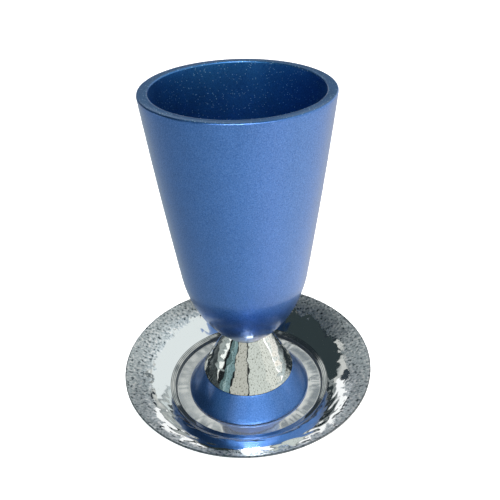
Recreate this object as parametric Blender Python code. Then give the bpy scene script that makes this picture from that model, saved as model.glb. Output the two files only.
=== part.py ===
"""A kiddush cup on its saucer: a thick-walled bowl, a hammered stem, a turned foot and a hammered saucer.

Metres, +Z up. The origin is the centre of the saucer's underside, on the surface that the saucer stands on.
Every piece is turned about the Z axis. The cup only stands in the saucer, so it lifts off.
"""

import math

import bmesh
import bpy
from mathutils import Vector, noise

# Saucer: a spun sheet, flat under the foot, faintly dished round it, then a step, a narrow ring and a
# hammered flange that bows up, steep at the ring and flatter towards its edge
SAUCER_SHEET = 0.0008
WELL_MARGIN = 0.0004
DISH_WIDTH = 0.0057
DISH_RISE = 0.0002
STEP_WIDTH = 0.0006
STEP_RISE = 0.0016
RING_WIDTH = 0.00225
RING_RISE = 0.0007
FLANGE_WIDTH = 0.0196
FLANGE_RISE = 0.0116
FLANGE_BOW = 0.0014
FLANGE_ROWS = 7

# Foot: a truncated cone with a rounded lower edge and a shallow recess below
FOOT_HEIGHT = 0.0102
FOOT_RADIUS = 0.0279
FOOT_NARROWING = 0.0071
FOOT_EDGE_ROUND = 0.0005
FOOT_RECESS_DEPTH = 0.0010
FOOT_LAND = 0.0035

# Stem: a steep hammered cone that stands on the foot, narrow at the top
STEM_HEIGHT = 0.0203
STEM_INSET = 0.0002
STEM_TOP_RADIUS = 0.0095
STEM_ROWS = 6

# Bowl: a nearly straight taper that rounds in to a small flat seat, with one wall thickness all round
BOWL_HEIGHT = 0.1140
BOWL_RIM_RADIUS = 0.0377
BOWL_TAPER = math.radians(7.4)
BOWL_SIDE_BOW = 0.00035
BOWL_ROUND_HEIGHT = 0.0342
BOWL_WALL = 0.0042
BOWL_FLOOR = 0.0060
BOWL_FLOOR_FILLET = 0.0040
BOWL_RIM_ROUND = 0.0006
BOWL_SEAT_MARGIN = 0.0002

# Radii that follow from those sizes
WELL_RADIUS = FOOT_RADIUS + WELL_MARGIN
STEP_RADIUS = WELL_RADIUS + DISH_WIDTH + STEP_WIDTH
RING_RADIUS = STEP_RADIUS + RING_WIDTH
SAUCER_RADIUS = RING_RADIUS + FLANGE_WIDTH
FOOT_TOP_RADIUS = FOOT_RADIUS - FOOT_NARROWING
STEM_RADIUS = FOOT_TOP_RADIUS - STEM_INSET

# Pieces that rest on each other keep this gap
CLEARANCE = 0.0003

# Hammer marks: how deep they are, and how far apart on the sheet and round the stem
FLANGE_HAMMER_DEPTH = 0.0005
STEM_HAMMER_DEPTH = 0.0004
HAMMER_PITCH = 0.0052

# Turning: segments round the axis, and steps in each kind of arc
SEGMENTS = 72
LONG_ARC_STEPS = 7
TAPER_STEPS = 2
SMALL_ARC_STEPS = 3
SHARP_ANGLE = math.radians(35)
MERGE_DISTANCE = 1e-6

# Finishes: base colour, metallic and roughness
BLUE_ANODISED = ((0.060, 0.145, 0.420, 1.0), 0.75, 0.38)
POLISHED = ((0.72, 0.73, 0.74, 1.0), 1.0, 0.10)


def clear_scene():
    for obj in list(bpy.data.objects):
        bpy.data.objects.remove(obj, do_unlink=True)


def finish_material(name, finish):
    colour, metallic, roughness = finish
    material = bpy.data.materials.new(name)
    material.use_nodes = True
    shader = material.node_tree.nodes["Principled BSDF"]
    shader.inputs["Base Color"].default_value = colour
    shader.inputs["Metallic"].default_value = metallic
    shader.inputs["Roughness"].default_value = roughness
    return material


def arc(centre, radius, start, end, steps):
    """Points on a circle in the profile's plane, (radius from axis, height), with both ends."""
    points = []
    for step in range(steps + 1):
        angle = start + (end - start) * step / steps
        points.append((centre[0] + radius * math.cos(angle), centre[1] + radius * math.sin(angle)))
    return points


def angle_from(centre, point):
    return math.atan2(point[1] - centre[1], point[0] - centre[0])


def straight(first, last, steps):
    """Points between two ends, without the ends themselves."""
    return [
        tuple(a + (b - a) * step / steps for a, b in zip(first, last))
        for step in range(1, steps)
    ]


def bowed(first, last, steps, bow):
    """Points between two ends, without the ends, that bulge away from the axis by bow in the middle."""
    points = []
    for step, (radius, height) in enumerate(straight(first, last, steps), start=1):
        share = step / steps
        points.append((radius + 4.0 * bow * share * (1.0 - share), height))
    return points


def turned(name, profile, finish, base_height, relief=None):
    """One closed body spun from a profile of (radius, height) points, set base_height above the origin."""
    body = bmesh.new()
    line = [body.verts.new((radius, 0.0, height)) for radius, height in profile]
    edges = [body.edges.new(pair) for pair in zip(line, line[1:])]
    bmesh.ops.spin(
        body,
        geom=line + edges,
        cent=(0.0, 0.0, 0.0),
        axis=(0.0, 0.0, 1.0),
        angle=math.tau,
        steps=SEGMENTS,
        use_merge=True,
        use_duplicate=False,
    )
    bmesh.ops.remove_doubles(body, verts=body.verts, dist=MERGE_DISTANCE)
    bmesh.ops.recalc_face_normals(body, faces=body.faces)
    if relief:
        relief(body)
    mesh = bpy.data.meshes.new(name)
    body.to_mesh(mesh)
    body.free()
    mesh.shade_smooth()
    mesh.set_sharp_from_angle(angle=SHARP_ANGLE)
    obj = bpy.data.objects.new(name, mesh)
    obj.location.z = base_height
    obj.data.materials.append(finish)
    bpy.context.collection.objects.link(obj)
    return obj


def fade(value, low, high):
    """0 at both ends of a zone and 1 in its middle."""
    if not low < value < high:
        return 0.0
    return math.sqrt(math.sin(math.pi * (value - low) / (high - low)))


def hammer_mark(place):
    return noise.noise(Vector(place) / HAMMER_PITCH)


def hammer_flange(body):
    """Hammer marks lift and sink both faces of the sheet together, so that its thickness stays."""
    for vert in body.verts:
        radius = math.hypot(vert.co.x, vert.co.y)
        strength = fade(radius, RING_RADIUS, SAUCER_RADIUS)
        vert.co.z += FLANGE_HAMMER_DEPTH * strength * hammer_mark((vert.co.x, vert.co.y, 0.0))


def hammer_stem(body):
    """Hammer marks move the side of the cone in and out, and leave its two seats flat."""
    for vert in body.verts:
        strength = fade(vert.co.z, 0.0, STEM_HEIGHT)
        radius = math.hypot(vert.co.x, vert.co.y)
        if strength and radius:
            push = 1.0 + STEM_HAMMER_DEPTH * strength * hammer_mark(vert.co) / radius
            vert.co.x *= push
            vert.co.y *= push


def saucer_profile():
    """The top face from the axis out to the edge, then back along the underside, one sheet below it."""
    well_edge = Vector((WELL_RADIUS, SAUCER_SHEET))
    step_foot = well_edge + Vector((DISH_WIDTH, DISH_RISE))
    ring_foot = step_foot + Vector((STEP_WIDTH, STEP_RISE))
    flange_foot = ring_foot + Vector((RING_WIDTH, RING_RISE))
    top = [Vector((0.0, SAUCER_SHEET)), well_edge]
    for step in range(1, SMALL_ARC_STEPS + 1):
        share = step / SMALL_ARC_STEPS
        top.append(well_edge + Vector((DISH_WIDTH * share, DISH_RISE * share**2)))
    top += [ring_foot, flange_foot]
    for step in range(1, FLANGE_ROWS + 1):
        share = step / FLANGE_ROWS
        bow = 4.0 * FLANGE_BOW * share * (1.0 - share)
        top.append(flange_foot + Vector((FLANGE_WIDTH * share, FLANGE_RISE * share + bow)))
    under = [below_sheet(*corner) for corner in zip(top, top[1:], top[2:])]
    edge_slope = (top[-1] - top[-2]).normalized()
    edge = top[-1] - Vector((0.0, SAUCER_SHEET / edge_slope.x))
    return [*top, edge, *under[::-1], Vector((0.0, 0.0))]


def below_sheet(before, here, after):
    """The point on the underside, one sheet below a corner of the top face."""
    arriving = (here - before).normalized()
    leaving = (after - here).normalized()
    along = (arriving + leaving).normalized()
    down = Vector((along.y, -along.x))
    moved = here + down * SAUCER_SHEET / along.dot(arriving)
    return Vector((moved.x, max(moved.y, 0.0)))


def foot_profile():
    """Round the foot from the axis of its recess, out over the land, up its side and in across its top."""
    recess_radius = FOOT_RADIUS - FOOT_EDGE_ROUND - FOOT_LAND
    slope = math.atan2(FOOT_NARROWING, FOOT_HEIGHT)
    centre = (FOOT_RADIUS - FOOT_EDGE_ROUND, FOOT_EDGE_ROUND)
    edge = arc(centre, FOOT_EDGE_ROUND, -math.pi / 2, slope, SMALL_ARC_STEPS)
    return [
        (0.0, FOOT_RECESS_DEPTH),
        (recess_radius, FOOT_RECESS_DEPTH),
        (recess_radius, 0.0),
        *edge,
        *straight(edge[-1], (FOOT_TOP_RADIUS, FOOT_HEIGHT), 2),
        (FOOT_TOP_RADIUS, FOOT_HEIGHT),
        (0.0, FOOT_HEIGHT),
    ]


def stem_profile():
    bottom = (STEM_RADIUS, 0.0)
    top = (STEM_TOP_RADIUS, STEM_HEIGHT)
    return [(0.0, 0.0), bottom, *straight(bottom, top, STEM_ROWS), top, (0.0, STEM_HEIGHT)]


def bowl_profile():
    """Up the outer side from the seat, over the rim, and down the inside to the axis.

    The outer arc runs from the seat's edge and meets the taper smoothly. The inner one has the same centre.
    """
    seat = Vector((STEM_TOP_RADIUS + BOWL_SEAT_MARGIN, 0.0))
    fall = BOWL_HEIGHT - BOWL_ROUND_HEIGHT
    tangent = Vector((BOWL_RIM_RADIUS - fall * math.tan(BOWL_TAPER), BOWL_ROUND_HEIGHT))
    inward = Vector((-math.cos(BOWL_TAPER), math.sin(BOWL_TAPER)))
    chord = tangent - seat
    outer_radius = -chord.length_squared / (2.0 * chord.dot(inward))
    centre = tangent + inward * outer_radius
    inner_radius = outer_radius - BOWL_WALL
    outer_end = -BOWL_TAPER
    outer_arc = arc(centre, outer_radius, angle_from(centre, seat), outer_end, LONG_ARC_STEPS)

    rim_height = BOWL_HEIGHT - BOWL_RIM_ROUND
    outer_rim_radius = BOWL_RIM_RADIUS - BOWL_RIM_ROUND * math.tan(BOWL_TAPER)
    inner_rim_radius = BOWL_RIM_RADIUS - BOWL_WALL / math.cos(BOWL_TAPER)
    outer_centre = (outer_rim_radius - BOWL_RIM_ROUND, rim_height)
    inner_centre = (inner_rim_radius + BOWL_RIM_ROUND, rim_height)
    rim = [
        *arc(outer_centre, BOWL_RIM_ROUND, 0.0, math.pi / 2, SMALL_ARC_STEPS),
        *arc(inner_centre, BOWL_RIM_ROUND, math.pi / 2, math.pi, SMALL_ARC_STEPS),
    ]

    fillet_height = BOWL_FLOOR + BOWL_FLOOR_FILLET
    reach = inner_radius - BOWL_FLOOR_FILLET
    fillet_centre = (centre[0] + math.sqrt(reach**2 - (centre[1] - fillet_height) ** 2), fillet_height)
    meet = angle_from(centre, fillet_centre)
    inner_arc = arc(centre, inner_radius, outer_end, meet, LONG_ARC_STEPS)
    fillet = arc(fillet_centre, BOWL_FLOOR_FILLET, meet, -math.pi / 2, SMALL_ARC_STEPS)
    return [
        (0.0, 0.0),
        *outer_arc,
        *bowed(outer_arc[-1], rim[0], TAPER_STEPS, BOWL_SIDE_BOW),
        *rim,
        *bowed(rim[-1], inner_arc[0], TAPER_STEPS, BOWL_SIDE_BOW),
        *inner_arc,
        *fillet[1:],
        (0.0, BOWL_FLOOR),
    ]


def build():
    clear_scene()
    blue = finish_material("blue_anodised_aluminium", BLUE_ANODISED)
    polished = finish_material("polished_hammered_aluminium", POLISHED)
    foot_base = SAUCER_SHEET + CLEARANCE
    stem_base = foot_base + FOOT_HEIGHT + CLEARANCE
    bowl_base = stem_base + STEM_HEIGHT + CLEARANCE
    turned("saucer", saucer_profile(), polished, 0.0, hammer_flange)
    turned("foot", foot_profile(), blue, foot_base)
    turned("stem", stem_profile(), polished, stem_base, hammer_stem)
    turned("bowl", bowl_profile(), blue, bowl_base)


build()
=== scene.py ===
"""A kiddush cup on its hammered saucer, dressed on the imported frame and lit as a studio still.

The file is laid out as an add-on: each piece has its own settings and operator, and a sidebar
panel lists them. Lengths are in metres, in the frame's own axes: +Z up, with the origin below the
middle of the saucer.
"""

import math

import bpy
import numpy as np
from bpy.props import FloatProperty, FloatVectorProperty, PointerProperty
from mathutils import Matrix, Vector, noise


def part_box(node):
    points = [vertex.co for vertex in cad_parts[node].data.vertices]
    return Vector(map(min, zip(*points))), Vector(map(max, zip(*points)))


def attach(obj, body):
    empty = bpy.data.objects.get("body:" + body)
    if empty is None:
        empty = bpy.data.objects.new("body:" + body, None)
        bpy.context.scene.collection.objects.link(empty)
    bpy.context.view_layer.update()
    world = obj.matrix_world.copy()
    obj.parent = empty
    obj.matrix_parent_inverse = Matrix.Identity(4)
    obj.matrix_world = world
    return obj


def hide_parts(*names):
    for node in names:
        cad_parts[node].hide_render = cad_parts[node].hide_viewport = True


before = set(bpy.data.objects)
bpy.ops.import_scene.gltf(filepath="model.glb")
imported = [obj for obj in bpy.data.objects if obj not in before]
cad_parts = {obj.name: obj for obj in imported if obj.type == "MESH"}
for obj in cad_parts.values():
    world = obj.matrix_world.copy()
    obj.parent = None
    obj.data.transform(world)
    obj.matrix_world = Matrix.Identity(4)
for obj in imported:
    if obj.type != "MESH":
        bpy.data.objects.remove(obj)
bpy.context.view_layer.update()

bl_info = {
    "name": "Kiddush Cup",
    "version": (1, 0, 0),
    "blender": (4, 5, 0),
    "location": "View3D > Sidebar > Kiddush Cup",
    "description": "Makes a blue footed kiddush cup that stands in a hammered saucer",
    "category": "Add Mesh",
}

BODY = "root"
MM = 0.001

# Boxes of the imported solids, which give each piece its height, radius and place
BOWL_LOW, BOWL_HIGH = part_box("bowl")
STEM_LOW, STEM_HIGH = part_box("stem")
FOOT_LOW, FOOT_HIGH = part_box("foot")
SAUCER_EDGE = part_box("saucer")[1].x

# Sockets of the Mix node, which has some for numbers and others for colours
MIX_SHARE = 0
NUMBER_A, NUMBER_B, NUMBER_OUT = 2, 3, 0
COLOUR_A, COLOUR_B, COLOUR_OUT = 6, 7, 2


def hex_colour(code):
    """An sRGB hex value such as '4a70b0' as linear red, green, blue and alpha."""
    linear = []
    for start in (0, 2, 4):
        value = int(code[start : start + 2], 16) / 255
        linear.append(value / 12.92 if value <= 0.04045 else ((value + 0.055) / 1.055) ** 2.4)
    return (*linear, 1.0)


def tinted(colour, shares):
    """A linear colour with its red, green and blue each multiplied by a share."""
    return (*(min(value * share, 1.0) for value, share in zip(colour, shares)), 1.0)


def add_node(tree, kind, settings=None, links=None):
    """Adds a shader node, sets its attributes and values, and links inputs to nodes' outputs."""
    node = tree.nodes.new("ShaderNode" + kind)
    for name, value in (settings or {}).items():
        if isinstance(name, int) or name in node.inputs:
            node.inputs[name].default_value = value
        else:
            setattr(node, name, value)
    for name, source in (links or {}).items():
        tree.links.new(source, node.inputs[name])
    return node


def new_material(name):
    """A material and its empty node tree, ready for a shader."""
    material = bpy.data.materials.new(name)
    material.use_nodes = True
    material.node_tree.nodes.clear()
    return material, material.node_tree


def colour_stops(ramp_node, stops):
    """Sets a colour ramp's stops from (position, hex) pairs."""
    elements = ramp_node.color_ramp.elements
    while len(elements) > len(stops):
        elements.remove(elements[-1])
    while len(elements) < len(stops):
        elements.new(1.0)
    for element, (position, code) in zip(elements, stops):
        element.position = position
        element.color = hex_colour(code)


# Settings that a user would change


class BowlSettings(bpy.types.PropertyGroup):
    taper: FloatProperty(
        name="Taper", description="Lean of the straight side",
        default=math.radians(7.4), subtype="ANGLE",
    )
    side_bow: FloatProperty(
        name="Side bow", description="How far the side bulges in its middle",
        default=0.00035, unit="LENGTH",
    )
    round_height: FloatProperty(
        name="Round height", description="Height of the rounded bottom",
        default=0.0342, unit="LENGTH",
    )
    seat_radius: FloatProperty(
        name="Seat radius", description="Radius of the flat seat on the stem",
        default=0.0097, unit="LENGTH",
    )
    wall: FloatProperty(
        name="Wall", description="Thickness of the wall", default=0.0042, unit="LENGTH"
    )
    floor: FloatProperty(
        name="Floor", description="Thickness of the floor", default=0.006, unit="LENGTH"
    )
    floor_fillet: FloatProperty(
        name="Floor fillet", description="Rounding inside the bottom", default=0.004, unit="LENGTH"
    )
    rim_round: FloatProperty(
        name="Rim rounding", description="Rounding of both rim edges", default=0.0007, unit="LENGTH"
    )


class FootSettings(bpy.types.PropertyGroup):
    top_radius: FloatProperty(
        name="Top radius", description="Radius under the stem", default=0.0208, unit="LENGTH"
    )
    edge_round: FloatProperty(
        name="Edge rounding", description="Rounding of the lower edge",
        default=0.0005, unit="LENGTH",
    )
    top_round: FloatProperty(
        name="Top rounding", description="Rounding of the upper edge", default=0.0003, unit="LENGTH"
    )
    recess_depth: FloatProperty(
        name="Recess depth", description="Depth of the hollow below", default=0.001, unit="LENGTH"
    )
    land: FloatProperty(
        name="Land", description="Width of the ring that the foot stands on",
        default=0.0035, unit="LENGTH",
    )


class StemSettings(bpy.types.PropertyGroup):
    bottom_radius: FloatProperty(
        name="Bottom radius", description="Radius on the foot", default=0.0206, unit="LENGTH"
    )
    top_radius: FloatProperty(
        name="Top radius", description="Radius under the bowl", default=0.0095, unit="LENGTH"
    )
    mark_pitch: FloatProperty(
        name="Mark pitch", description="Distance between hammer marks",
        default=0.0036, unit="LENGTH",
    )
    mark_depth: FloatProperty(
        name="Mark depth", description="Depth of a hammer mark", default=0.00010, unit="LENGTH"
    )


class SaucerSettings(bpy.types.PropertyGroup):
    sheet: FloatProperty(
        name="Sheet", description="Thickness of the sheet", default=0.0008, unit="LENGTH"
    )
    well_radius: FloatProperty(
        name="Well radius", description="Radius of the flat well", default=0.0283, unit="LENGTH"
    )
    dish_width: FloatProperty(
        name="Dish width", description="Width of the faint dish round the well",
        default=0.0057, unit="LENGTH",
    )
    dish_rise: FloatProperty(
        name="Dish rise", description="Rise across the faint dish", default=0.0002, unit="LENGTH"
    )
    step_width: FloatProperty(
        name="Step width", description="Width of the step inside the ring",
        default=0.0006, unit="LENGTH",
    )
    step_rise: FloatProperty(
        name="Step rise", description="Height of the step inside the ring",
        default=0.0016, unit="LENGTH",
    )
    ring_width: FloatProperty(
        name="Ring width", description="Width of the narrow ring", default=0.00225, unit="LENGTH"
    )
    ring_rise: FloatProperty(
        name="Ring rise", description="Rise across the narrow ring", default=0.0007, unit="LENGTH"
    )
    flange_rise: FloatProperty(
        name="Flange rise", description="Height of the hammered flange",
        default=0.0116, unit="LENGTH",
    )
    flange_bow: FloatProperty(
        name="Flange bow", description="How far the flange bows up in its middle",
        default=0.0014, unit="LENGTH",
    )
    ripple_pitch: FloatProperty(
        name="Ripple pitch", description="Distance between ripples round the dish",
        default=0.0036, unit="LENGTH",
    )
    ripple_depth: FloatProperty(
        name="Ripple depth", description="Depth of a ripple in the dish",
        default=0.00009, unit="LENGTH",
    )
    stroke_length: FloatProperty(
        name="Stroke length", description="Length of the strokes along the flange's front half",
        default=0.007, unit="LENGTH",
    )
    stroke_width: FloatProperty(
        name="Stroke width", description="Width of those strokes, up the flange",
        default=0.0022, unit="LENGTH",
    )
    stroke_depth: FloatProperty(
        name="Stroke depth", description="Depth of those strokes", default=0.00014, unit="LENGTH"
    )
    mark_pitch: FloatProperty(
        name="Mark pitch", description="Distance between broad hammer marks",
        default=0.0042, unit="LENGTH",
    )
    mark_depth: FloatProperty(
        name="Mark depth", description="Depth of a broad hammer mark",
        default=0.00009, unit="LENGTH",
    )
    planish_width: FloatProperty(
        name="Planished width", description="Width of the finely planished band",
        default=0.0105, unit="LENGTH",
    )
    planish_pitch: FloatProperty(
        name="Planish pitch", description="Distance between fine planishing marks",
        default=0.0011, unit="LENGTH",
    )
    planish_depth: FloatProperty(
        name="Planish depth", description="Depth of a fine planishing mark",
        default=0.00006, unit="LENGTH",
    )


class FinishSettings(bpy.types.PropertyGroup):
    blue: FloatVectorProperty(
        name="Blue", description="Colour of the dyed pieces",
        size=4, subtype="COLOR", default=hex_colour("4b81cb"), min=0.0, max=1.0,
    )
    blue_grain: FloatProperty(
        name="Blast grain", description="Size of the bead-blasted grain",
        default=0.00045, unit="LENGTH",
    )
    bright: FloatVectorProperty(
        name="Bright metal", description="Colour of the polished saucer",
        size=4, subtype="COLOR", default=hex_colour("e3e6e6"), min=0.0, max=1.0,
    )


class StageSettings(bpy.types.PropertyGroup):
    room_light: FloatProperty(
        name="Room light", description="Strength of the soft light from all round",
        default=1.0, min=0.0,
    )
    floor_glow: FloatProperty(
        name="Floor glow", description="Glow of the floor, which keeps shadows on it faint",
        default=0.62, min=0.0,
    )
    overhead_power: FloatProperty(
        name="Overhead light", description="Power of the soft box above the cup",
        default=14.0, min=0.0, unit="POWER",
    )


# Turning

BLUE_SEGMENTS = 256
STEM_SEGMENTS = 360
SAUCER_SEGMENTS = 540
SHARP_ANGLE = math.radians(40)


def arc(centre, radius, start, end, steps):
    """Points on a circle in the profile's plane, (radius from axis, height), with both ends."""
    points = []
    for step in range(steps + 1):
        angle = start + (end - start) * step / steps
        points.append((centre[0] + radius * math.cos(angle), centre[1] + radius * math.sin(angle)))
    return points


def angle_from(centre, point):
    """The direction in which a point of the profile's plane lies from a centre."""
    return math.atan2(point[1] - centre[1], point[0] - centre[0])


def straight(first, last, steps):
    """Points between two ends, without the ends themselves."""
    return [
        tuple(a + (b - a) * step / steps for a, b in zip(first, last)) for step in range(1, steps)
    ]


def bowed(first, last, steps, bow):
    """Points between two ends, without the ends, that bulge outwards by bow in the middle."""
    points = []
    for step, (radius, height) in enumerate(straight(first, last, steps), start=1):
        share = step / steps
        points.append((radius + 4.0 * bow * share * (1.0 - share), height))
    return points


def turned(name, profile, segments, relief=None):
    """A closed body turned from a profile that starts and ends on the axis.

    relief, if given, takes the grid of points, as an array of rows by segments by 3, and moves
    them.
    """
    section = np.array(profile[1:-1])
    angles = np.arange(segments) * math.tau / segments
    grid = np.empty((len(section), segments, 3))
    grid[..., 0] = section[:, :1] * np.cos(angles)
    grid[..., 1] = section[:, :1] * np.sin(angles)
    grid[..., 2] = section[:, 1:]
    if relief:
        relief(grid)
    points = grid.reshape(-1, 3).tolist()
    points += [(0.0, 0.0, profile[0][1]), (0.0, 0.0, profile[-1][1])]
    first_pole, last_pole = len(points) - 2, len(points) - 1
    index = np.arange(len(section) * segments).reshape(len(section), segments)
    following = np.roll(index, -1, axis=1)
    corners = [index[:-1], index[1:], following[1:], following[:-1]]
    faces = np.stack(corners, axis=-1).reshape(-1, 4).tolist()
    faces += [(first_pole, a, b) for a, b in zip(index[0].tolist(), following[0].tolist())]
    faces += [(a, last_pole, b) for a, b in zip(index[-1].tolist(), following[-1].tolist())]
    mesh = bpy.data.meshes.new(name)
    mesh.from_pydata(points, [], faces)
    mesh.validate()
    mesh.shade_smooth()
    mesh.set_sharp_from_angle(angle=SHARP_ANGLE)
    piece = bpy.data.objects.new(name, mesh)
    bpy.context.scene.collection.objects.link(piece)
    return piece


def smooth_step(value, low, high):
    """0 up to low and 1 from high on, easing in and out between them."""
    share = np.clip((value - low) / (high - low), 0.0, 1.0)
    return share * share * (3.0 - 2.0 * share)


# Profiles

# Steps or rings along the stretches of each profile
BOWL_ARC_STEPS = 40
BOWL_SIDE_STEPS = 24
BOWL_RIM_STEPS = 6
BOWL_FILLET_STEPS = 8
FOOT_EDGE_STEPS = 8
FOOT_TOP_STEPS = 4
FOOT_SIDE_STEPS = 12
STEM_STEPS = 90
WELL_RING_SHARES = (0.02, 0.3, 0.6, 0.8)
DISH_RINGS = 14
STEP_RINGS = 10
RING_RINGS = 7
FLANGE_RINGS = 78

# The saucer's edge rounding as a share of its sheet. Its underside follows every third ring of the
# top, and TILT_REACH is the distance over which the top's tilt is read there
SAUCER_EDGE_SHARE = 0.4
UNDERSIDE_SKIP = 3
TILT_REACH = 0.1 * MM


def bowl_profile(size):
    """From the middle of the floor up the inside, over the rim, down the outside to the seat."""
    rim_radius = BOWL_HIGH.x
    height = BOWL_HIGH.z - BOWL_LOW.z
    seat = Vector((size.seat_radius, 0.0))
    fall = height - size.round_height
    tangent = Vector((rim_radius - fall * math.tan(size.taper), size.round_height))
    inward = Vector((-math.cos(size.taper), math.sin(size.taper)))
    chord = tangent - seat
    outer_radius = -chord.length_squared / (2.0 * chord.dot(inward))
    centre = tangent + inward * outer_radius
    inner_radius = outer_radius - size.wall
    seat_angle = angle_from(centre, seat)
    outer_arc = arc(centre, outer_radius, seat_angle, -size.taper, BOWL_ARC_STEPS)

    rim = size.rim_round
    outer_rim = (rim_radius - rim * math.tan(size.taper) - rim, height - rim)
    inner_rim = (rim_radius - size.wall / math.cos(size.taper) + rim, height - rim)
    rim_points = arc(outer_rim, rim, 0.0, math.pi / 2, BOWL_RIM_STEPS)
    rim_points += arc(inner_rim, rim, math.pi / 2, math.pi, BOWL_RIM_STEPS)

    fillet_height = size.floor + size.floor_fillet
    reach = inner_radius - size.floor_fillet
    fillet_radius = centre[0] + math.sqrt(reach**2 - (centre[1] - fillet_height) ** 2)
    fillet_centre = (fillet_radius, fillet_height)
    meet = angle_from(centre, fillet_centre)
    inner_arc = arc(centre, inner_radius, -size.taper, meet, BOWL_ARC_STEPS)
    fillet = arc(fillet_centre, size.floor_fillet, meet, -math.pi / 2, BOWL_FILLET_STEPS)
    outside_in = [
        (0.0, 0.0),
        *outer_arc,
        *bowed(outer_arc[-1], rim_points[0], BOWL_SIDE_STEPS, size.side_bow),
        *rim_points,
        *bowed(rim_points[-1], inner_arc[0], BOWL_SIDE_STEPS, size.side_bow),
        *inner_arc,
        *fillet[1:],
        (0.0, size.floor),
    ]
    return [(radius, BOWL_LOW.z + up) for radius, up in reversed(outside_in)]


def foot_profile(size):
    """Across the top, down the cone, round the lower edge, over the land and into the recess."""
    base, top = FOOT_LOW.z, FOOT_HIGH.z
    radius = FOOT_HIGH.x
    slope = math.atan2(radius - size.top_radius, top - base)
    edge_centre = (radius - size.edge_round, base + size.edge_round)
    top_centre = (size.top_radius - size.top_round, top - size.top_round)
    lower = arc(edge_centre, size.edge_round, slope, -math.pi / 2, FOOT_EDGE_STEPS)
    upper = arc(top_centre, size.top_round, math.pi / 2, slope, FOOT_TOP_STEPS)
    recess_radius = edge_centre[0] - size.land
    return [
        (0.0, top),
        *upper,
        *straight(upper[-1], lower[0], FOOT_SIDE_STEPS),
        *lower,
        (recess_radius, base),
        (recess_radius, base + size.recess_depth),
        (0.0, base + size.recess_depth),
    ]


def stem_profile(size):
    """Across the top, down the cone in rows that are fine enough for its marks, and back."""
    top, bottom = (size.top_radius, STEM_HIGH.z), (size.bottom_radius, STEM_LOW.z)
    side = straight(top, bottom, STEM_STEPS)
    return [(0.0, STEM_HIGH.z), top, *side, bottom, (0.0, STEM_LOW.z)]


def saucer_radii(size):
    """Where the saucer's step, its narrow ring and its flange begin."""
    step_foot = size.well_radius + size.dish_width
    ring_foot = step_foot + size.step_width
    return step_foot, ring_foot, ring_foot + size.ring_width


def saucer_top(size, radius):
    """Height of the saucer's upper face at a distance from its axis, before hammering."""
    step_foot, ring_foot, flange_foot = saucer_radii(size)
    height = size.sheet
    if radius <= size.well_radius:
        return height
    if radius <= step_foot:
        return height + size.dish_rise * ((radius - size.well_radius) / size.dish_width) ** 2
    height += size.dish_rise
    if radius <= ring_foot:
        return height + size.step_rise * float(smooth_step(radius, step_foot, ring_foot))
    height += size.step_rise
    if radius <= flange_foot:
        return height + size.ring_rise * (radius - ring_foot) / size.ring_width
    share = (radius - flange_foot) / (SAUCER_EDGE - flange_foot)
    bow = 4.0 * size.flange_bow * share * (1.0 - share)
    return height + size.ring_rise + size.flange_rise * share + bow


def saucer_profile(size):
    """The upper face from the axis to the rounded edge, then the underside one sheet below it."""
    step_foot, ring_foot, flange_foot = saucer_radii(size)
    edge = SAUCER_EDGE
    edge_round = size.sheet * SAUCER_EDGE_SHARE
    radii = [size.well_radius * share for share in WELL_RING_SHARES]
    radii += list(np.linspace(size.well_radius, step_foot, DISH_RINGS))
    radii += list(np.linspace(step_foot, ring_foot, STEP_RINGS))[1:]
    radii += list(np.linspace(ring_foot, flange_foot, RING_RINGS))[1:]
    radii += list(np.linspace(flange_foot, edge - edge_round, FLANGE_RINGS))[1:]
    top = [(radius, saucer_top(size, radius)) for radius in radii]
    slope = math.atan2(top[-1][1] - top[-2][1], top[-1][0] - top[-2][0])
    edge_top = top[-1][1]
    edge_under = edge_top - size.sheet / math.cos(slope)
    lip = [
        (edge - edge_round * 0.3, edge_top + edge_round * 0.1),
        (edge, edge_top - edge_round * 0.6),
        (edge, edge_under + edge_round * 0.6),
        (edge - edge_round * 0.3, edge_under + edge_round * 0.1),
    ]
    under = []
    for radius in radii[::-UNDERSIDE_SKIP]:
        rise = saucer_top(size, radius) - saucer_top(size, radius - TILT_REACH)
        drop = size.sheet / math.cos(math.atan(rise / TILT_REACH))
        under.append((radius, max(saucer_top(size, radius) - drop, 0.0)))
    return [(0.0, size.sheet), *top, *lip, *under, (0.0, 0.0)]


# Hammering

# How steeply a mark rises to its ridge, and the share of the stem's height over which its marks
# fade out at each seat
DIMPLE_STEEPNESS = 2.0
STEM_SEAT_FADE = 1.0 / 12.0

# Ripples in the dish: where they fade in from the well, and the patches in which they are deeper
RIPPLE_FADE = 1.5 * MM
RIPPLE_PATCH_PITCHES = 3.0
RIPPLE_PATCH_NOISE = (-0.1, 0.35)
RIPPLE_LEAST = 0.3
RIPPLE_PATCH_GAIN = 1.5

# Marks on the flange: where they fade in from its foot and out towards the lip
FLANGE_FADE = 2.5 * MM
LIP_FADE_START = 1.2 * MM
LIP_FADE_END = 0.3 * MM

# Distances in front of the axis over which strokes take over from broad marks, and over which the
# planished band thins to its width at the front
STROKES_START, STROKES_FULL = 4 * MM, 20 * MM
BAND_THINS_FROM, BAND_THINS_TO = 8 * MM, 50 * MM
FRONT_BAND_WIDTH = 3 * MM

# How far fine marks fade in on each side of the band's border, and how much of the broad marks'
# depth is lost at the front
BAND_FADE_BEFORE, BAND_FADE_AFTER = 2.5 * MM, 1 * MM
FRONT_SOFTENING = 0.7


def dimple(place, pitch):
    """0 in the middle of the nearest hammer mark, rising to 1 on the ridge between two marks."""
    nearest = noise.voronoi(Vector(place) / pitch)[0][0]
    return min(nearest * nearest * DIMPLE_STEEPNESS, 1.0)


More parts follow.
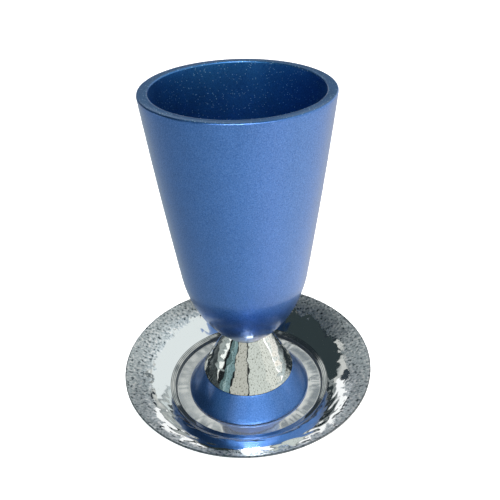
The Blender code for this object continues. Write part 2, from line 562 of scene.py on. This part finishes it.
def hammer_stem(size):
    """Hammer marks all round the cone, faded out at its two seats."""

    def relief(grid):
        low, high = STEM_LOW.z, STEM_HIGH.z
        for row in grid:
            share = (row[0, 2] - low) / (high - low)
            strength = min(share, 1.0 - share) / STEM_SEAT_FADE
            strength = min(max(strength, 0.0), 1.0)
            for point in row:
                radius = math.hypot(point[0], point[1])
                sink = size.mark_depth * strength * (1.0 - dimple(point, size.mark_pitch))
                point[:2] *= (radius - sink) / radius

    return relief


def hammer_saucer(size):
    """Broad marks and long strokes on the flange, planishing at its edge, ripples in the dish."""
    step_foot, _, flange_foot = saucer_radii(size)
    edge = SAUCER_EDGE

    def ripple_dish(row, radius):
        fade = smooth_step(radius, size.well_radius, size.well_radius + RIPPLE_FADE)
        for point in row:
            along = Vector((point[0], point[1], 0.0)) * step_foot / radius
            patch_noise = noise.noise(along / (RIPPLE_PATCH_PITCHES * size.ripple_pitch))
            patch = smooth_step(patch_noise, *RIPPLE_PATCH_NOISE)
            depth = size.ripple_depth * fade * (RIPPLE_LEAST + RIPPLE_PATCH_GAIN * patch)
            point[2] += depth * noise.noise(along / size.ripple_pitch)

    def hammer_flange(row, radius):
        lip = 1.0 - smooth_step(radius, edge - LIP_FADE_START, edge - LIP_FADE_END)
        reach = float(lip * smooth_step(radius, flange_foot, flange_foot + FLANGE_FADE))
        for point in row:
            flat = (point[0], point[1], 0.0)
            forward = -point[1]
            front = float(smooth_step(forward, STROKES_START, STROKES_FULL))
            broad = reach * size.mark_depth * (1.0 - FRONT_SOFTENING * front)
            point[2] -= broad * (1.0 - dimple(flat, size.mark_pitch))
            if front:
                stroke = Vector(flat) * edge / radius / size.stroke_length
                stroke.z = radius / size.stroke_width
                point[2] += front * reach * size.stroke_depth * noise.noise(stroke)
            thinning = float(smooth_step(forward, BAND_THINS_FROM, BAND_THINS_TO))
            band_start = edge - size.planish_width
            band_start += (size.planish_width - FRONT_BAND_WIDTH) * thinning
            in_band = smooth_step(
                radius, band_start - BAND_FADE_BEFORE, band_start + BAND_FADE_AFTER
            )
            fine = float(lip * size.planish_depth * in_band)
            if fine:
                point[2] -= fine * (1.0 - dimple(flat, size.planish_pitch))

    def relief(grid):
        for row in grid:
            radius = math.hypot(row[0, 0], row[0, 1])
            on_top = row[0, 2] > size.sheet * 0.9
            if on_top and size.well_radius < radius < step_foot:
                ripple_dish(row, radius)
            if radius > flange_foot:
                hammer_flange(row, radius)

    return relief


# Finishes

# Sizes of their patterns. Blasting leaves grain and glints of about a tenth of a millimetre, and
# polishing leaves pits as small: both are drawn coarser, so that they show. The painted glints
# inside the bowl are pale spots in the colour, about as far apart.
DYE_CLOUD = 9 * MM
GLINT_SPACING = 0.7 * MM
PAINTED_GLINT_SPACING = 0.8 * MM
BUFFING_SWIRL = 2.2 * MM
PIT_SIZE = 0.5 * MM
WELL_SWIRL = 6 * MM
PLANISH_SPECK = 1.3 * MM
BAND_BORDER_WAVE = 6 * MM
BAND_BORDER_WANDER = 12 * MM
BAND_BORDER_SOFT = 0.6 * MM
GROOVE_HALF_PITCH = 0.375 * MM
GROOVE_EDGE, GROOVE_MIDDLE = 0.22 * MM, 0.06 * MM
LIP_SHADE_START, LIP_SHADE_END = 0.7 * MM, 0.1 * MM

# Shares of the dye's red, green and blue in the grain's dark and pale places, and of the painted
# shade inside the bowl
DEEP_DYE = (0.60, 0.72, 0.80)
PALE_DYE = (1.70, 1.32, 1.18)
INSIDE_PAINTED_SHADE = (0.45, 0.88, 0.85, 1.0)

# Share of the places inside the bowl that have no painted glint
NO_PAINTED_GLINT = 0.62


def bowl_inside(tree, coordinates):
    """1 on the bowl's rim and inner wall, which take painted shade and painted glints, and 0
    elsewhere.
    """
    place = coordinates.outputs["Object"]
    flat = add_node(tree, "VectorMath", {"operation": "MULTIPLY", 1: (-1.0, -1.0, 0.0)}, {0: place})
    inward = add_node(tree, "VectorMath", {"operation": "NORMALIZE"}, {0: flat.outputs["Vector"]})
    inward_and_up = add_node(
        tree, "VectorMath", {"operation": "ADD", 1: (0.0, 0.0, 1.0)}, {0: inward.outputs["Vector"]}
    )
    facing = add_node(
        tree, "VectorMath", {"operation": "DOT_PRODUCT"},
        {0: inward_and_up.outputs["Vector"], 1: coordinates.outputs["Normal"]},
    )
    faces_in = add_node(
        tree, "Math", {"operation": "GREATER_THAN", 1: 0.3}, {0: facing.outputs["Value"]}
    )
    height = add_node(tree, "SeparateXYZ", None, {0: place}).outputs["Z"]
    above_foot = add_node(tree, "Math", {"operation": "GREATER_THAN", 1: BOWL_LOW.z}, {0: height})
    both = add_node(
        tree, "Math", {"operation": "MULTIPLY"}, {0: faces_in.outputs[0], 1: above_foot.outputs[0]}
    )
    return both.outputs[0]


def blue_anodised_aluminium(settings):
    """Dyed anodised aluminium, bead blasted before the dye: a satin metal whose grain glints."""
    material, tree = new_material("blue anodised aluminium")
    coordinates = add_node(tree, "TexCoord")
    place = coordinates.outputs["Object"]
    grain = add_node(
        tree, "TexNoise",
        {"Scale": 1.0 / settings.blue_grain, "Detail": 2.0, "Roughness": 0.6}, {"Vector": place},
    )
    cloud = add_node(tree, "TexNoise", {"Scale": 1.0 / DYE_CLOUD, "Detail": 3.0}, {"Vector": place})
    glint = add_node(tree, "TexVoronoi", {"Scale": 1.0 / GLINT_SPACING}, {"Vector": place})
    glint_spot = add_node(
        tree, "MapRange", {"From Min": 0.30, "From Max": 0.05}, {"Value": glint.outputs["Distance"]}
    )
    contrast = add_node(
        tree, "MapRange", {"From Min": 0.32, "From Max": 0.68}, {"Value": grain.outputs["Fac"]}
    )
    deep, pale = tinted(settings.blue, DEEP_DYE), tinted(settings.blue, PALE_DYE)
    grained = add_node(
        tree, "Mix", {"data_type": "RGBA", COLOUR_A: deep, COLOUR_B: pale},
        {MIX_SHARE: contrast.outputs["Result"]},
    )
    # Painted glints: pale spots painted into the colour of the rim and inner wall, standing in for
    # light caught by the grain
    painted_glint_cells = add_node(tree, "TexVoronoi", {"Scale": 1.0 / PAINTED_GLINT_SPACING}, {"Vector": place})
    chosen = add_node(
        tree, "Math", {"operation": "GREATER_THAN", 1: NO_PAINTED_GLINT}, {0: painted_glint_cells.outputs["Color"]}
    )
    near = add_node(
        tree, "MapRange", {"From Min": 0.34, "From Max": 0.16}, {"Value": painted_glint_cells.outputs["Distance"]}
    )
    spark = add_node(
        tree, "Math", {"operation": "MULTIPLY"}, {0: chosen.outputs[0], 1: near.outputs["Result"]}
    )
    inside = bowl_inside(tree, coordinates)
    inner_spark = add_node(
        tree, "Math", {"operation": "MULTIPLY"}, {0: spark.outputs[0], 1: inside}
    )
    # Painted shade: the rim and inner wall are darkened and tinted, standing in for the shade inside
    # the bowl
    dyed = add_node(
        tree, "Mix",
        {"data_type": "RGBA", "blend_type": "MULTIPLY", COLOUR_B: INSIDE_PAINTED_SHADE},
        {MIX_SHARE: inside, COLOUR_A: grained.outputs[COLOUR_OUT]},
    )
    base = add_node(
        tree, "Mix", {"data_type": "RGBA", COLOUR_B: hex_colour("a9e2ff")},
        {MIX_SHARE: inner_spark.outputs[0], COLOUR_A: dyed.outputs[COLOUR_OUT]},
    )
    worn = add_node(
        tree, "Mix", {"data_type": "RGBA", "blend_type": "MULTIPLY", MIX_SHARE: 0.18},
        {COLOUR_A: base.outputs[COLOUR_OUT], COLOUR_B: cloud.outputs["Fac"]},
    )
    roughness = add_node(
        tree, "MapRange", {"To Min": 0.30, "To Max": 0.40}, {"Value": cloud.outputs["Fac"]}
    )
    height = add_node(
        tree, "Math", {"operation": "ADD"},
        {0: grain.outputs["Fac"], 1: glint_spot.outputs["Result"]},
    )
    bump = add_node(
        tree, "Bump", {"Strength": 0.40, "Distance": 0.06 * MM}, {"Height": height.outputs[0]}
    )
    shader = add_node(
        tree, "BsdfPrincipled",
        {"Metallic": 1.0, "Coat Weight": 0.7, "Coat Roughness": 0.12},
        {
            "Base Color": worn.outputs[COLOUR_OUT],
            "Roughness": roughness.outputs["Result"],
            "Normal": bump.outputs["Normal"],
        },
    )
    add_node(tree, "OutputMaterial", None, {"Surface": shader.outputs[0]})
    return material


def polished_hammered_aluminium():
    """Hammered aluminium buffed to a mirror: bright, with faint swirls between the marks."""
    material, tree = new_material("polished hammered aluminium")
    place = add_node(tree, "TexCoord").outputs["Object"]
    swirl = add_node(
        tree, "TexNoise", {"Scale": 1.0 / BUFFING_SWIRL, "Detail": 3.0}, {"Vector": place}
    )
    drawn_out = add_node(
        tree, "VectorMath", {"operation": "MULTIPLY", 1: (1.0, 1.0, 0.4)}, {0: place}
    )
    speck = add_node(
        tree, "TexNoise", {"Scale": 1.0 / PIT_SIZE, "Detail": 2.0},
        {"Vector": drawn_out.outputs["Vector"]},
    )
    pitted = add_node(tree, "ValToRGB", None, {"Fac": speck.outputs["Fac"]})
    colour_stops(pitted, [(0.29, "7c7e78"), (0.38, "cfd1cb"), (0.50, "e6e8e4")])
    roughness = add_node(
        tree, "MapRange", {"To Min": 0.03, "To Max": 0.10}, {"Value": swirl.outputs["Fac"]}
    )
    bump = add_node(
        tree, "Bump", {"Strength": 0.10, "Distance": 0.06 * MM}, {"Height": swirl.outputs["Fac"]}
    )
    shader = add_node(
        tree, "BsdfPrincipled", {"Metallic": 1.0},
        {
            "Base Color": pitted.outputs["Color"],
            "Roughness": roughness.outputs["Result"],
            "Normal": bump.outputs["Normal"],
        },
    )
    add_node(tree, "OutputMaterial", None, {"Surface": shader.outputs[0]})
    return material


def radius_zone(tree, radius, inner, outer):
    """1 between two radii and 0 elsewhere."""
    beyond = add_node(tree, "Math", {"operation": "GREATER_THAN", 1: inner}, {0: radius})
    within = add_node(tree, "Math", {"operation": "LESS_THAN", 1: outer}, {0: radius})
    both = add_node(
        tree, "Math", {"operation": "MULTIPLY"}, {0: beyond.outputs[0], 1: within.outputs[0]}
    )
    return both.outputs[0]


def planished_spun_aluminium(settings, size):
    """Spun aluminium: a mirror in the well and up the flange, greyed by planishing at its edge."""
    step_foot, ring_foot, flange_foot = saucer_radii(size)
    edge = SAUCER_EDGE
    material, tree = new_material("planished spun aluminium")
    place = add_node(tree, "TexCoord").outputs["Object"]
    flat_place = add_node(
        tree, "VectorMath", {"operation": "MULTIPLY", 1: (1.0, 1.0, 0.0)}, {0: place}
    ).outputs["Vector"]
    radius = add_node(tree, "VectorMath", {"operation": "LENGTH"}, {0: flat_place}).outputs["Value"]

    # The planished band, with a ragged border and thinner at the front
    border = add_node(
        tree, "TexNoise", {"Scale": 1.0 / BAND_BORDER_WAVE, "Detail": 3.0}, {"Vector": place}
    )
    shift = add_node(
        tree, "Math",
        {"operation": "MULTIPLY_ADD", 1: BAND_BORDER_WANDER, 2: -BAND_BORDER_WANDER / 2},
        {0: border.outputs["Fac"]},
    )
    ragged = add_node(tree, "Math", {"operation": "ADD"}, {0: radius, 1: shift.outputs[0]})
    depth = add_node(tree, "SeparateXYZ", None, {0: place}).outputs["Y"]
    thin_front = add_node(
        tree, "MapRange",
        {
            "interpolation_type": "SMOOTHSTEP",
            "From Min": -BAND_THINS_FROM,
            "From Max": -BAND_THINS_TO,
            "To Max": size.planish_width - FRONT_BAND_WIDTH,
        },
        {"Value": depth},
    )
    inward = add_node(
        tree, "Math", {"operation": "SUBTRACT"},
        {0: ragged.outputs[0], 1: thin_front.outputs["Result"]},
    )
    start = edge - size.planish_width
    band = add_node(
        tree, "MapRange",
        {
            "interpolation_type": "SMOOTHSTEP",
            "From Min": start - BAND_BORDER_SOFT,
            "From Max": start + BAND_BORDER_SOFT,
        },
        {"Value": inward.outputs[0]},
    ).outputs["Result"]
    marks = add_node(
        tree, "TexVoronoi", {"Scale": 1.0 / size.planish_pitch}, {"Vector": flat_place}
    )
    specks = add_node(
        tree, "TexNoise", {"Scale": 1.0 / PLANISH_SPECK, "Detail": 2.0}, {"Vector": flat_place}
    )
    greyed = add_node(tree, "ValToRGB", None, {"Fac": specks.outputs["Fac"]})
    colour_stops(greyed, [(0.34, "3f4c54"), (0.41, "bcc6cb"), (0.54, "dbe3e7"), (0.66, "ffffff")])
    banded = add_node(
        tree, "Mix", {"data_type": "RGBA", COLOUR_A: tuple(settings.bright)},
        {MIX_SHARE: band, COLOUR_B: greyed.outputs["Color"]},
    )

    # Spinning grooves on the narrow ring, painted shade on the step's cut face, and the lip's shaded
    # edge
    groove_wave = add_node(
        tree, "Math", {"operation": "PINGPONG", 1: GROOVE_HALF_PITCH}, {0: radius}
    )
    groove_line = add_node(
        tree, "MapRange", {"From Min": GROOVE_EDGE, "From Max": GROOVE_MIDDLE},
        {"Value": groove_wave.outputs[0]},
    )
    on_ring = radius_zone(tree, radius, step_foot - 0.2 * MM, flange_foot + 0.1 * MM)
    grooved = add_node(
        tree, "Math", {"operation": "MULTIPLY"}, {0: groove_line.outputs["Result"], 1: on_ring}
    )
    lined = add_node(
        tree, "Mix", {"data_type": "RGBA", COLOUR_B: hex_colour("8d9496")},
        {MIX_SHARE: grooved.outputs[0], COLOUR_A: banded.outputs[COLOUR_OUT]},
    )
    # Painted shade: the step's face is painted dark grey, as well as being rougher
    on_step = radius_zone(tree, radius, step_foot - 0.05 * MM, ring_foot + 0.1 * MM)
    step_painted_shade = add_node(
        tree, "Mix", {"data_type": "RGBA", COLOUR_B: hex_colour("6a7072")},
        {MIX_SHARE: on_step, COLOUR_A: lined.outputs[COLOUR_OUT]},
    )
    lip = add_node(
        tree, "MapRange",
        {
            "interpolation_type": "SMOOTHSTEP",
            "From Min": edge - LIP_SHADE_START,
            "From Max": edge - LIP_SHADE_END,
            "To Max": 0.85,
        },
        {"Value": radius},
    )
    base = add_node(
        tree, "Mix", {"data_type": "RGBA", COLOUR_B: hex_colour("3f4a50")},
        {MIX_SHARE: lip.outputs["Result"], COLOUR_A: step_painted_shade.outputs[COLOUR_OUT]},
    )

    # Gloss: polished, rougher on the step and in the band, and hazy inside the ring
    swirl = add_node(
        tree, "TexNoise", {"Scale": 1.0 / WELL_SWIRL, "Detail": 3.0}, {"Vector": place}
    )
    mirror_rough = add_node(
        tree, "MapRange", {"To Min": 0.03, "To Max": 0.09}, {"Value": swirl.outputs["Fac"]}
    )
    cut_rough = add_node(
        tree, "Mix", {"data_type": "FLOAT", NUMBER_B: 0.45},
        {MIX_SHARE: on_step, NUMBER_A: mirror_rough.outputs["Result"]},
    )
    roughness = add_node(
        tree, "Mix", {"data_type": "FLOAT", NUMBER_B: 0.30},
        {MIX_SHARE: band, NUMBER_A: cut_rough.outputs[NUMBER_OUT]},
    )
    mark_height = add_node(
        tree, "Math", {"operation": "MULTIPLY"}, {0: marks.outputs["Distance"], 1: band}
    )
    height = add_node(
        tree, "Math", {"operation": "MULTIPLY_ADD", 1: 0.35},
        {0: swirl.outputs["Fac"], 2: mark_height.outputs[0]},
    )
    bump = add_node(
        tree, "Bump", {"Strength": 0.35, "Distance": 0.12 * MM}, {"Height": height.outputs[0]}
    )
    in_dish = add_node(tree, "Math", {"operation": "LESS_THAN", 1: ring_foot}, {0: radius})
    haze = add_node(
        tree, "MapRange", {"To Min": 1.0, "To Max": 0.86}, {"Value": in_dish.outputs[0]}
    )
    shader = add_node(
        tree, "BsdfPrincipled", None,
        {
            "Base Color": base.outputs[COLOUR_OUT],
            "Metallic": haze.outputs["Result"],
            "Roughness": roughness.outputs[NUMBER_OUT],
            "Normal": bump.outputs["Normal"],
        },
    )
    add_node(tree, "OutputMaterial", None, {"Surface": shader.outputs[0]})
    return material


# Pieces


def dress(piece, node, material):
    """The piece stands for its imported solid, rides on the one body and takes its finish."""
    piece.data.materials.append(material)
    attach(piece, BODY)
    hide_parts(node)


def blue_finish(settings):
    """The material that the bowl and the foot share."""
    made = bpy.data.materials.get("blue anodised aluminium")
    return made or blue_anodised_aluminium(settings)


class KIDDUSH_OT_bowl(bpy.types.Operator):
    """Makes the blue bowl"""

    bl_idname = "kiddush.bowl"
    bl_label = "Bowl"

    def execute(self, context):
        piece = turned("cup_bowl", bowl_profile(context.scene.cup_bowl), BLUE_SEGMENTS)
        dress(piece, "bowl", blue_finish(context.scene.cup_finish))
        return {"FINISHED"}


class KIDDUSH_OT_foot(bpy.types.Operator):
    """Makes the blue foot"""

    bl_idname = "kiddush.foot"
    bl_label = "Foot"

    def execute(self, context):
        piece = turned("cup_foot", foot_profile(context.scene.cup_foot), BLUE_SEGMENTS)
        dress(piece, "foot", blue_finish(context.scene.cup_finish))
        return {"FINISHED"}


class KIDDUSH_OT_stem(bpy.types.Operator):
    """Makes the hammered stem"""

    bl_idname = "kiddush.stem"
    bl_label = "Stem"

    def execute(self, context):
        size = context.scene.cup_stem
        relief = hammer_stem(size)
        piece = turned("hammered_stem_cone", stem_profile(size), STEM_SEGMENTS, relief)
        dress(piece, "stem", polished_hammered_aluminium())
        return {"FINISHED"}


class KIDDUSH_OT_saucer(bpy.types.Operator):
    """Makes the hammered saucer"""

    bl_idname = "kiddush.saucer"
    bl_label = "Saucer"

    def execute(self, context):
        size = context.scene.cup_saucer
        relief = hammer_saucer(size)
        piece = turned("hammered_saucer", saucer_profile(size), SAUCER_SEGMENTS, relief)
        finish = planished_spun_aluminium(context.scene.cup_finish, size)
        dress(piece, "saucer", finish)
        return {"FINISHED"}


# Stage

# The camera, solved from the circles in the photograph: place, turn and focal length in pixels
FRAME_PIXELS = 500
FOCAL_PIXELS = 660.6
CENTRE_PIXEL = (268.0, 200.0)
CAMERA_BACK = 0.2370
CAMERA_UP = 0.2248
CAMERA_PAN = math.radians(2.54)
CAMERA_TILT = math.radians(28.14)
CAMERA_ROLL = math.radians(1.05)
SENSOR_WIDTH = 36.0

FLOOR_REACH = 4.0
FLOOR_GAP = 0.0002

# The soft box, whose azimuth counts from +X towards +Y, and the height on the axis that it faces
OVERHEAD_AZIMUTH = math.radians(-60)
OVERHEAD_ELEVATION = math.radians(80)
OVERHEAD_DISTANCE = 1.0
OVERHEAD_SIDE = 0.8
OVERHEAD_AIM = 0.06

# Tall folds of light and shade in the room
FOLD_SCALE = 9.0
FOLD_STRETCH = (1.0, 1.0, 0.35)

# Cards that only the metal mirrors. Each has its name, its azimuths at its lower and at its upper
# end, its elevations, all in degrees, its colour and strength, and any distance of its own
CARD_DISTANCE = 1.2
CARD_CENTRE = 0.02
CARD_CUTS = 8
CARDS = (
    ("white_wall_right", (-8, 74), (-30, 26), (-0.9, 66), "f4fafa", 1.02),
    ("dark_wall_left", (116, 182), (150, 205), (-0.9, 66), "343f42", 1.0),
    ("dark_room_left", (-180, -122), (-158, -122), (34, 66), "39424a", 1.0),
    ("soft_box_front", (-122, -40), (-122, -40), (31, 66), "f6f9ff", 2.2),
    ("dark_room_right", (-40, -34), (-40, -34), (36, 66), "39424a", 1.0),
    ("dark_ceiling_left", (-180, -110), (-180, -110), (66, 76), "2c353b", 1.0),
    ("soft_box_top", (-110, -72), (-110, -72), (66, 76), "f6f9ff", 2.4),
    ("dark_ceiling_right", (-72, 180), (-72, 180), (66, 76), "2c353b", 1.0),
    ("dark_ceiling", (-180, 180), (-180, 180), (76, 89), "2c353b", 1.0),
    ("dark_rail_back", (74, 118), (74, 118), (-0.9, 3.5), "2a3438", 1.0),
    ("white_rail_back", (74, 118), (74, 118), (3.5, 13), "ffffff", 1.2),
    ("dark_curtain_back", (66, 120), (66, 120), (13, 27), "39424a", 1.0),
    ("dark_room_back", (114, 150), (114, 150), (42, 66), "2c353b", 1.0, 1.1),
    ("cream_front_left", (-133, -95.5), (-133, -95.5), (-0.9, 31), "dadbd4", 0.86),
    ("black_slit_middle", (-95.5, -91), (-95.5, -91), (-0.9, 31), "23282a", 1.0),
    ("cream_front_right", (-91, -42), (-91, -42), (-0.9, 31), "e6ece8", 0.94),
    ("pale_right", (-42, -8), (-42, -30), (-0.9, 36), "eef1ec", 1.02),
    ("white_strip_right", (-9, -3), (-9, -3), (-0.9, 13), "ffffff", 1.8, 1.1),
    ("black_edge", (-137, -133), (-137, -133), (-0.9, 31), "1c2226", 1.0),
    ("teal_left", (-163, -152), (-163, -152), (-0.9, 34), "5b7377", 1.2),
    ("teal_middle", (-152, -149), (-152, -149), (-0.9, 34), "8ea6aa", 1.4),
    ("teal_right", (-149, -137), (-149, -137), (-0.9, 34), "6b858b", 1.5),
    ("black_slit_left", (-172, -163), (-172, -163), (-0.9, 34), "1c2226", 1.0),
    ("white_slit_left", (-192, -172), (-192, -172), (-0.9, 14), "f4f8f8", 1.3, 1.1),
    ("bright_bar_front", (-112, -68), (-112, -68), (58, 68), "ffffff", 15.0, 1.1),
)

# A mat round the saucer that only the metal mirrors, graded by share of a turn from -X
MAT_INNER_RADIUS = 0.0585
MAT_OUTER_RADIUS = 1.21
MAT_HEIGHT = 0.0006
MAT_SEGMENTS = 96
MAT_GLOW = 1.3
MAT_TONES = (
    (0.00, "909a9c"),
    (0.12, "a6b0b1"),
    (0.25, "cbd2d3"),
    (0.36, "fbf0ec"),
    (0.46, "faf0e5"),
    (0.53, "eae8e5"),
    (0.68, "abaeaf"),
    (0.85, "9fa6a5"),
    (1.00, "909a9c"),
)


def camera_matrix():
    """The camera's place and turn, from its pan, its tilt and its roll."""
    forward = Vector((
        math.sin(CAMERA_PAN) * math.cos(CAMERA_TILT),
        math.cos(CAMERA_PAN) * math.cos(CAMERA_TILT),
        -math.sin(CAMERA_TILT),
    ))
    level_right = Vector((math.cos(CAMERA_PAN), -math.sin(CAMERA_PAN), 0.0))
    level_down = forward.cross(level_right)
    right = level_right * math.cos(CAMERA_ROLL) + level_down * math.sin(CAMERA_ROLL)
    down = level_down * math.cos(CAMERA_ROLL) - level_right * math.sin(CAMERA_ROLL)
    turn = Matrix((right, -down, -forward)).transposed().to_4x4()
    return Matrix.Translation((0.0, -CAMERA_BACK, CAMERA_UP)) @ turn


def make_camera(scene):
    """A camera at the photograph's viewing angle."""
    data = bpy.data.cameras.new("camera")
    data.sensor_width = SENSOR_WIDTH
    data.lens = SENSOR_WIDTH * FOCAL_PIXELS / FRAME_PIXELS
    data.shift_x = 0.5 - CENTRE_PIXEL[0] / FRAME_PIXELS
    data.shift_y = CENTRE_PIXEL[1] / FRAME_PIXELS - 0.5
    data.clip_start = 0.01
    camera = bpy.data.objects.new("camera", data)
    camera.matrix_world = camera_matrix()
    scene.collection.objects.link(camera)
    scene.camera = camera


def on_sphere(distance, around, up):
    """A point round the origin, from its distance, its azimuth and its elevation."""
    level = distance * math.cos(up)
    return level * math.cos(around), level * math.sin(around), distance * math.sin(up)


def make_light(scene, power):
    """A large soft box above the cup, which the metal doesn't mirror."""
    data = bpy.data.lights.new("overhead_box", "AREA")
    data.size = OVERHEAD_SIDE
    data.energy = power
    light = bpy.data.objects.new("overhead_box", data)
    away = Vector(on_sphere(OVERHEAD_DISTANCE, OVERHEAD_AZIMUTH, OVERHEAD_ELEVATION))
    light.location = Vector((0.0, 0.0, OVERHEAD_AIM)) + away
    light.rotation_mode = "QUATERNION"
    light.rotation_quaternion = away.to_track_quat("Z", "Y")
    light.visible_glossy = False
    scene.collection.objects.link(light)


def mirrored_only(scene, name, points, faces, material):
    """A part of the studio that shows in the metal's reflections and nowhere else."""
    mesh = bpy.data.meshes.new(name)
    mesh.from_pydata(points, [], faces)
    mesh.materials.append(material)
    card = bpy.data.objects.new(name, mesh)
    card.visible_camera = False
    card.visible_shadow = False
    card.visible_diffuse = False
    scene.collection.objects.link(card)


def glowing(name, colour, strength):
    """A material that only gives light, for the studio's cards."""
    material, tree = new_material(name)
    shader = add_node(tree, "Emission", {"Color": hex_colour(colour), "Strength": strength})
    add_node(tree, "OutputMaterial", None, {"Surface": shader.outputs[0]})
    return material


def between(ends, share):
    """The number at a share of the way between two ends."""
    return ends[0] + (ends[1] - ends[0]) * share


def studio_card(
    scene, name, low_azimuths, high_azimuths, elevations, colour, strength, distance=CARD_DISTANCE
):
    """A card beyond the picture's edge, on a sphere round the cup."""
    points = []
    for row in range(CARD_CUTS + 1):
        up_share = row / CARD_CUTS
        up = math.radians(between(elevations, up_share))
        ends = [between(pair, up_share) for pair in zip(low_azimuths, high_azimuths)]
        for column in range(CARD_CUTS + 1):
            around = math.radians(between(ends, column / CARD_CUTS))
            x, y, z = on_sphere(distance, around, up)
            points.append((x, y, z + CARD_CENTRE))
    faces = []
    for row in range(CARD_CUTS):
        for column in range(CARD_CUTS):
            corner = row * (CARD_CUTS + 1) + column
            faces.append((corner, corner + CARD_CUTS + 1, corner + CARD_CUTS + 2, corner + 1))
    mirrored_only(scene, name, points, faces, glowing(name, colour, strength))


def graded_mat(scene):
    """A flat ring on the floor round the saucer, dim at the left and bright at the right."""
    points = []
    for column in range(MAT_SEGMENTS):
        around = math.tau * column / MAT_SEGMENTS
        for radius in (MAT_INNER_RADIUS, MAT_OUTER_RADIUS):
            points.append((radius * math.cos(around), radius * math.sin(around), MAT_HEIGHT))
    count = len(points)
    faces = [(c, c + 1, (c + 3) % count, (c + 2) % count) for c in range(0, count, 2)]
    material, tree = new_material("graded mat")
    place = add_node(tree, "TexCoord").outputs["Object"]
    turn = add_node(tree, "TexGradient", {"gradient_type": "RADIAL"}, {"Vector": place})
    tone = add_node(tree, "ValToRGB", None, {"Fac": turn.outputs["Fac"]})
    colour_stops(tone, MAT_TONES)
    shader = add_node(tree, "Emission", {"Strength": MAT_GLOW}, {"Color": tone.outputs["Color"]})
    add_node(tree, "OutputMaterial", None, {"Surface": shader.outputs[0]})
    mirrored_only(scene, "graded_mat", points, faces, material)


def make_floor(scene, glow):
    """A white light table: it glows, so that shadows on it stay faint."""
    mesh = bpy.data.meshes.new("pale_floor")
    corners = [
        (x * FLOOR_REACH, y * FLOOR_REACH, -FLOOR_GAP)
        for x, y in ((-1, -1), (1, -1), (1, 1), (-1, 1))
    ]
    mesh.from_pydata(corners, [], [(0, 1, 2, 3)])
    floor = bpy.data.objects.new("pale_floor", mesh)
    material, tree = new_material("pale floor")
    shader = add_node(
        tree, "BsdfPrincipled",
        {
            "Base Color": hex_colour("f4f4f4"),
            "Roughness": 0.9,
            "Emission Color": hex_colour("ffffff"),
            "Emission Strength": glow,
        },
    )
    add_node(tree, "OutputMaterial", None, {"Surface": shader.outputs[0]})
    mesh.materials.append(material)
    scene.collection.objects.link(floor)


def make_world(scene, strength):
    """Soft grey room light, in tall folds where metal mirrors it and plain behind the object."""
    world = bpy.data.worlds.new("studio")
    world.use_nodes = True
    tree = world.node_tree
    tree.nodes.clear()
    direction = add_node(tree, "TexCoord").outputs["Generated"]
    tall = add_node(tree, "VectorMath", {"operation": "MULTIPLY", 1: FOLD_STRETCH}, {0: direction})
    folds = add_node(
        tree, "TexNoise", {"Scale": FOLD_SCALE, "Detail": 3.0}, {"Vector": tall.outputs["Vector"]}
    )
    tone = add_node(tree, "ValToRGB", None, {"Fac": folds.outputs["Fac"]})
    colour_stops(tone, [(0.34, "6d777c"), (0.46, "bcc0be"), (0.58, "dddeda")])
    seen_directly = add_node(tree, "LightPath").outputs["Is Camera Ray"]
    shown = add_node(
        tree, "Mix", {"data_type": "RGBA", COLOUR_B: hex_colour("f1f2f1")},
        {MIX_SHARE: seen_directly, COLOUR_A: tone.outputs["Color"]},
    )
    background = add_node(
        tree, "Background", {"Strength": strength}, {"Color": shown.outputs[COLOUR_OUT]}
    )
    add_node(tree, "OutputWorld", None, {"Surface": background.outputs[0]})
    scene.world = world


class KIDDUSH_OT_stage(bpy.types.Operator):
    """Makes the camera, the pale floor, the room's light, the soft box and the mirrored cards"""

    bl_idname = "kiddush.stage"
    bl_label = "Stage"

    def execute(self, context):
        scene = context.scene
        settings = scene.cup_stage
        scene.view_settings.view_transform = "Standard"
        make_camera(scene)
        make_floor(scene, settings.floor_glow)
        make_world(scene, settings.room_light)
        make_light(scene, settings.overhead_power)
        for card in CARDS:
            studio_card(scene, *card)
        graded_mat(scene)
        return {"FINISHED"}


# The panel's boxes: an operator, if there is one, and the settings under it
BOXES = (
    (None, "cup_finish"),
    (KIDDUSH_OT_saucer, "cup_saucer"),
    (KIDDUSH_OT_foot, "cup_foot"),
    (KIDDUSH_OT_stem, "cup_stem"),
    (KIDDUSH_OT_bowl, "cup_bowl"),
    (KIDDUSH_OT_stage, "cup_stage"),
)

GROUPS = {
    "cup_finish": FinishSettings,
    "cup_saucer": SaucerSettings,
    "cup_foot": FootSettings,
    "cup_stem": StemSettings,
    "cup_bowl": BowlSettings,
    "cup_stage": StageSettings,
}


class KIDDUSH_PT_sidebar(bpy.types.Panel):
    bl_idname = "KIDDUSH_PT_sidebar"
    bl_label = "Kiddush Cup"
    bl_space_type = "VIEW_3D"
    bl_region_type = "UI"
    bl_category = "Kiddush Cup"

    def draw(self, context):
        for operator, group in BOXES:
            box = self.layout.box()
            if operator:
                box.operator(operator.bl_idname)
            for name in GROUPS[group].__annotations__:
                box.prop(getattr(context.scene, group), name)


CLASSES = (*GROUPS.values(), *(operator for operator, _ in BOXES if operator), KIDDUSH_PT_sidebar)


def register():
    for each in CLASSES:
        bpy.utils.register_class(each)
    for name, group_class in GROUPS.items():
        setattr(bpy.types.Scene, name, PointerProperty(type=group_class))


def unregister():
    for name in GROUPS:
        delattr(bpy.types.Scene, name)
    for each in reversed(CLASSES):
        bpy.utils.unregister_class(each)


def main():
    register()
    bpy.ops.kiddush.saucer()
    bpy.ops.kiddush.foot()
    bpy.ops.kiddush.stem()
    bpy.ops.kiddush.bowl()
    bpy.ops.kiddush.stage()


if __name__ == "__main__":
    main()
